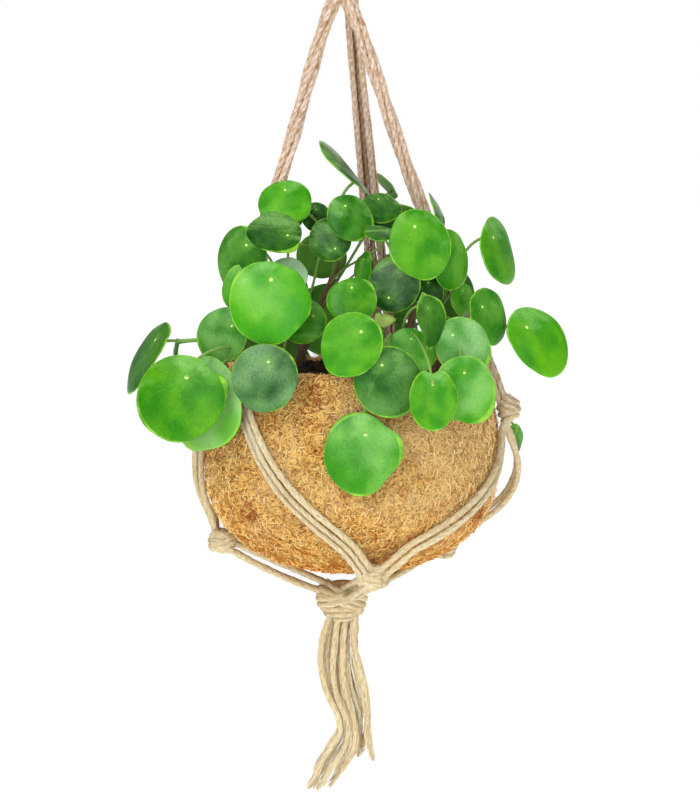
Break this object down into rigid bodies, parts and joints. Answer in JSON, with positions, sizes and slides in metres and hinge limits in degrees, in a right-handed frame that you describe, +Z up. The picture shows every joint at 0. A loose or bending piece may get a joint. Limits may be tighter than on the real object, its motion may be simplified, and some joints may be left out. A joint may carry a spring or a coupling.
{
  "type": "hanging potted plant",
  "caption": "Chinese money plant with round leaves on thin stalks, in a coir-fibre bowl carried by a knotted jute hanger with a loop and a tassel.",
  "frame": {"origin": "the point inside the top of the hanging loop where a hook carries it", "axes": "+Z up along the hanger, +X to the right seen from the front, +Y away from the viewer"},
  "size_m": [0.2588, 0.2153, 0.5217],
  "materials": {
    "coir": "matted golden-brown coconut fibre",
    "soil": "dark damp potting soil",
    "jute": "hairy natural jute twine",
    "plant": "smooth waxy green leaf"
  },
  "bodies": {
    "root": {"coir_bowl": "coir", "potting_soil": "soil", "hang_loop": "jute", "top_knot": "jute", "knot_left": "jute", "knot_back": "jute", "knot_right": "jute", "knot_low_left": "jute", "knot_low_front": "jute", "knot_low_back": "jute", "gather_knot": "jute", "leg_left": "jute", "leg_right": "jute", "leg_back_a": "jute", "leg_back_b": "jute", "net_front_left_a": "jute", "net_front_left_b": "jute", "net_left_a": "jute", "net_left_b": "jute", "net_front_right_a": "jute", "net_front_right_b": "jute", "net_right_a": "jute", "net_right_b": "jute", "net_back_right_a": "jute", "net_back_right_b": "jute", "net_back_left_a": "jute", "net_back_left_b": "jute", "tail_left_upper": "jute", "tail_left_lower": "jute", "tail_front_upper": "jute", "tail_front_lower": "jute", "tail_back_upper": "jute", "tail_back_lower": "jute", "tassel_front_1": "jute", "tassel_front_2": "jute", "tassel_front_3": "jute", "tassel_front_4": "jute", "tassel_middle_1": "jute", "tassel_middle_2": "jute", "tassel_middle_3": "jute", "tassel_middle_4": "jute", "tassel_back_1": "jute", "tassel_back_2": "jute", "tassel_back_3": "jute", "tassel_back_4": "jute", "stem_middle": "plant", "stem_right": "plant", "stem_right_low": "plant", "stem_front_right": "plant", "stem_front": "plant", "stem_left": "plant", "stem_left_low": "plant", "stem_back_left": "plant", "stem_back_middle": "plant", "stem_back_right": "plant"}
  },
  "joints": []
}
